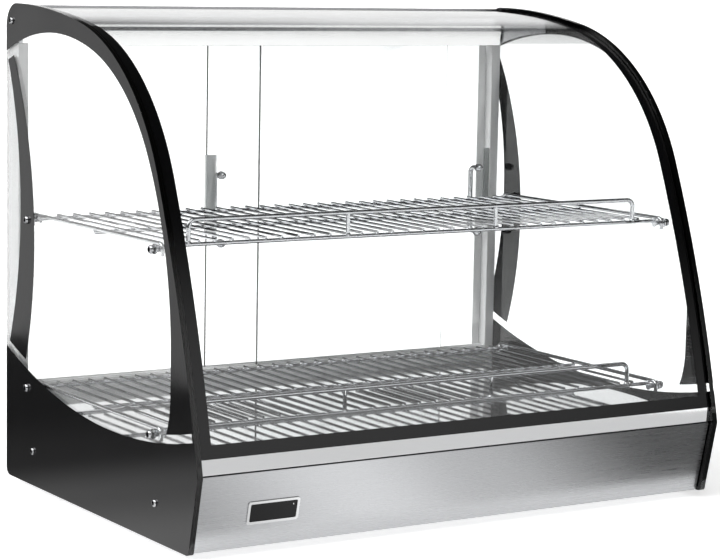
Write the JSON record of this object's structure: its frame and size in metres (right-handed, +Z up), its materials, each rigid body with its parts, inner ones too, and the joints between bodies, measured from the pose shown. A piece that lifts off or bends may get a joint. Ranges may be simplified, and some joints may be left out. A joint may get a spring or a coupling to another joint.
{
  "type": "hot food display case",
  "caption": "Countertop heated display case with curved front glass, two wire racks, printed side glasses and sliding rear doors.",
  "frame": {"origin": "on the resting plane, below the middle of the overall box", "axes": "+X to the right seen from the customer side, +Y to the doors at the back, +Z up"},
  "size_m": [0.6668, 0.4718, 0.541],
  "materials": {
    "clear_glass": "clear toughened float glass",
    "black_enamel": "glossy black ceramic print on glass",
    "black_rubber": "matt black",
    "brushed_panel": "stainless steel, fine horizontal brushing",
    "bright_sheet": "stainless steel, bright annealed",
    "chrome_wire": "chromed steel wire",
    "fasteners": "bright plated steel",
    "frame_aluminium": "satin extruded aluminium",
    "clear_plastic": "translucent moulded plastic",
    "white_nylon": "white nylon",
    "milky_plastic": "milky polycarbonate",
    "circuit_board": "white board with emitters",
    "black_plastic": "black moulded plastic",
    "display_window": "dark smoked window",
    "dial_scale": "black dial ring with plain marks",
    "heater_sheath": "heat-tinted steel sheath"
  },
  "bodies": {
    "case": {"base_chassis": "bright_sheet", "base_nuts": "fasteners", "controller_bezel": "black_plastic", "controller_body": "black_plastic", "controller_display": "display_window", "cord_gland": "black_plastic", "cord_gland_nut": "black_plastic", "deck": "bright_sheet", "foot_nuts": "fasteners", "foot_screws": "fasteners", "front_glass": "clear_glass", "front_glass_foot_seal": "black_rubber", "front_glass_print": "black_enamel", "front_glass_side_seals": "black_rubber", "front_seam_gasket": "black_rubber", "heater_clips": "heater_sheath", "heating_element": "heater_sheath", "hood_end_blocks": "fasteners", "hood_end_plates": "bright_sheet", "lamp_board": "circuit_board", "lamp_diffuser": "milky_plastic", "lamp_switch_housing": "black_plastic", "left_rear_post": "frame_aluminium", "left_side_glass": "clear_glass", "left_side_print": "black_enamel", "lower_door_track": "frame_aluminium", "lower_front_panel": "brushed_panel", "power_switch_housing": "black_plastic", "rack_stud_screws": "fasteners", "rack_studs": "fasteners", "rear_hood": "bright_sheet", "rear_panel": "brushed_panel", "right_rear_post": "frame_aluminium", "right_side_glass": "clear_glass", "right_side_print": "black_enamel", "rubber_feet": "black_rubber", "side_screws": "fasteners", "terminal_block": "black_plastic", "thermostat_body": "black_plastic", "thermostat_dial_plate": "dial_scale", "upper_door_track": "frame_aluminium", "upper_front_strip": "bright_sheet"},
    "left_door": {"left_door_glass": "clear_glass", "left_door_handle": "chrome_wire", "left_door_handle_nuts": "fasteners", "left_door_edge_guard": "clear_plastic", "left_door_glides": "white_nylon"},
    "right_door": {"right_door_glass": "clear_glass", "right_door_handle": "chrome_wire", "right_door_handle_nuts": "fasteners", "right_door_edge_guard": "clear_plastic", "right_door_glides": "white_nylon"},
    "upper_rack": {"upper_rack": "chrome_wire", "upper_rack_guard": "chrome_wire"},
    "lower_rack": {"lower_rack": "chrome_wire", "lower_rack_guard": "chrome_wire"},
    "power_rocker": {"power_rocker": "black_plastic"},
    "lamp_rocker": {"lamp_rocker": "black_plastic"},
    "thermostat_knob": {"thermostat_shaft": "fasteners", "thermostat_knob": "black_plastic"}
  },
  "joints": [
    {"name": "left_door_slide", "type": "slide", "parent": "case", "child": "left_door", "axis": [1, 0, 0], "range_m": [-0.24, 0.02]},
    {"name": "right_door_slide", "type": "slide", "parent": "case", "child": "right_door", "axis": [1, 0, 0], "range_m": [-0.02, 0]},
    {"name": "upper_rack_lift", "type": "slide", "parent": "case", "child": "upper_rack", "axis": [0, 0, 1], "range_m": [0, 0.02]},
    {"name": "lower_rack_lift", "type": "slide", "parent": "case", "child": "lower_rack", "axis": [0, 0, 1], "range_m": [0, 0.02]},
    {"name": "power_rocker_tilt", "type": "hinge", "parent": "case", "child": "power_rocker", "pos_m": [0.27, 0.21815, 0.054], "axis": [1, 0, 0], "range_deg": [-18, 0]},
    {"name": "lamp_rocker_tilt", "type": "hinge", "parent": "case", "child": "lamp_rocker", "pos_m": [0.225, 0.21815, 0.054], "axis": [1, 0, 0], "range_deg": [-18, 0]},
    {"name": "thermostat_turn", "type": "hinge", "parent": "case", "child": "thermostat_knob", "pos_m": [0.165, 0.22115, 0.054], "axis": [0, -1, 0], "range_deg": [0, 270]}
  ]
}
